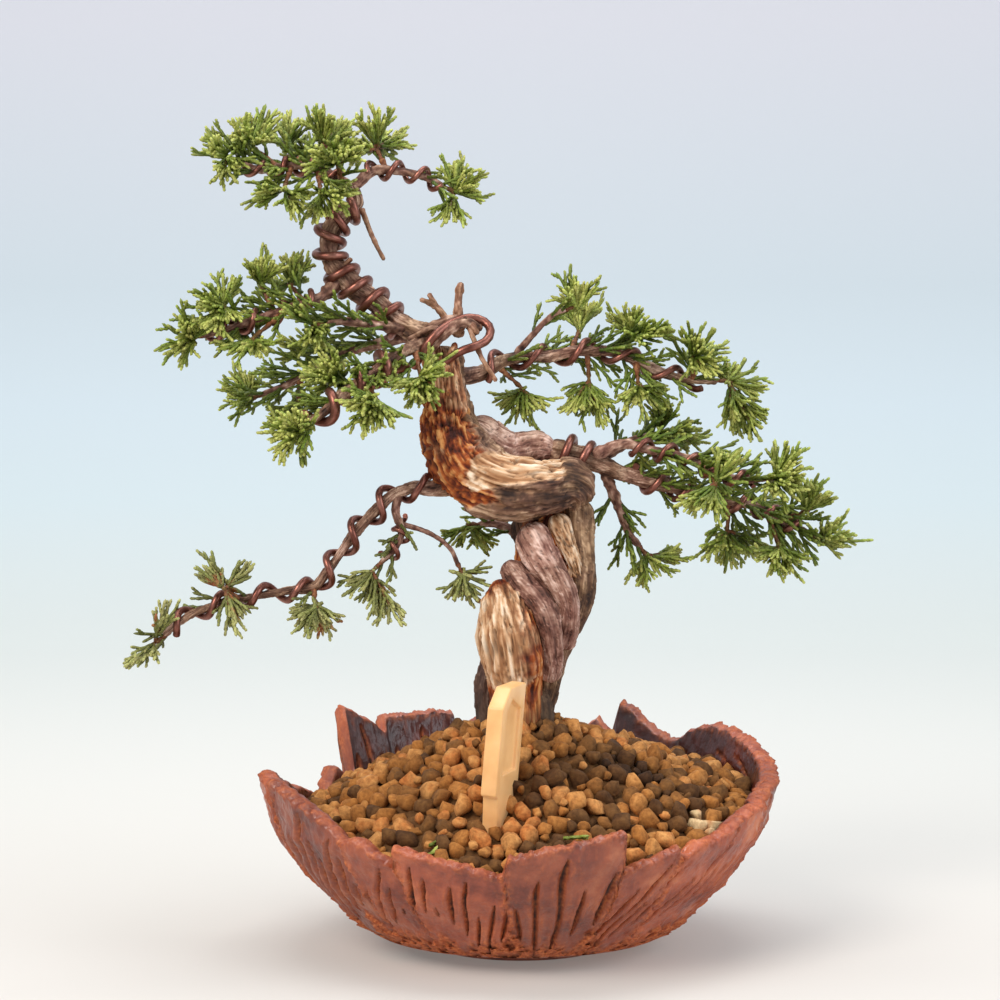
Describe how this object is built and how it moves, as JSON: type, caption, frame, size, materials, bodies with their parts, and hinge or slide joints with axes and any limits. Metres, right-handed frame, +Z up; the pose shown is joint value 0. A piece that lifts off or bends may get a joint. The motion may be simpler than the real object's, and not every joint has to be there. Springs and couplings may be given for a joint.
{
  "type": "bonsai tree in a pot",
  "caption": "Wired juniper bonsai with a twisted trunk and feathery green sprays, in a bowl of torn clay slabs filled with clay granules.",
  "frame": {"origin": "middle of the bowl's flat foot, on the surface it stands on", "axes": "+Z up; -Y to the front, the side of the low rim and the label; +X to the right of the front view"},
  "size_m": [0.2568, 0.1756, 0.2919],
  "materials": {
    "pot_clay": "fired red-brown stoneware, torn slabs, satin iron slip",
    "net_plastic": "black moulded net",
    "granules": "matt baked clay granules, ochre to brown",
    "label_plastic": "cream moulded plastic, satin",
    "juniper_wood": "juniper bark, bare weathered wood and orange heartwood",
    "wire_metal": "copper-brown anodised aluminium, satin",
    "foliage_green": "bright green scale leaves, satin",
    "foliage_olive": "dull olive scale leaves with brown tips"
  },
  "bodies": {
    "root": {"pot": "pot_clay", "drain_mesh": "net_plastic", "soil": "granules", "plant_label": "label_plastic", "wood": "juniper_wood", "wire_apex": "wire_metal", "wire_top_left": "wire_metal", "wire_top_right": "wire_metal", "wire_left_upper": "wire_metal", "wire_left_front": "wire_metal", "wire_right_upper": "wire_metal", "wire_right_loop": "wire_metal", "wire_right_lower": "wire_metal", "wire_right_fork": "wire_metal", "wire_left_lower": "wire_metal", "wire_left_drop": "wire_metal", "spray_top_1": "foliage_green", "spray_top_2": "foliage_green", "spray_top_3": "foliage_green", "spray_top_4": "foliage_green", "spray_top_5": "foliage_green", "spray_top_6": "foliage_green", "spray_top_7": "foliage_green", "spray_top_8": "foliage_green", "spray_top_9": "foliage_green", "spray_high_1": "foliage_green", "spray_high_2": "foliage_green", "spray_high_3": "foliage_green", "spray_high_4": "foliage_green", "spray_high_5": "foliage_green", "spray_mid_1": "foliage_green", "spray_mid_2": "foliage_green", "spray_mid_3": "foliage_green", "spray_mid_4": "foliage_green", "spray_mid_5": "foliage_green", "spray_mid_6": "foliage_green", "spray_mid_7": "foliage_green", "spray_mid_8": "foliage_green", "spray_right_1": "foliage_green", "spray_right_2": "foliage_green", "spray_right_3": "foliage_green", "spray_right_4": "foliage_green", "spray_right_5": "foliage_green", "spray_right_6": "foliage_green", "spray_right_7": "foliage_green", "spray_right_8": "foliage_green", "spray_low_1": "foliage_green", "spray_low_2": "foliage_green", "spray_low_3": "foliage_green", "spray_low_4": "foliage_green", "spray_low_5": "foliage_green", "spray_low_6": "foliage_green", "spray_low_7": "foliage_green", "spray_low_8": "foliage_green", "spray_far_1": "foliage_olive", "spray_far_2": "foliage_olive", "spray_far_3": "foliage_olive", "spray_far_4": "foliage_olive", "spray_far_5": "foliage_olive", "spray_behind_1": "foliage_green"}
  },
  "joints": []
}
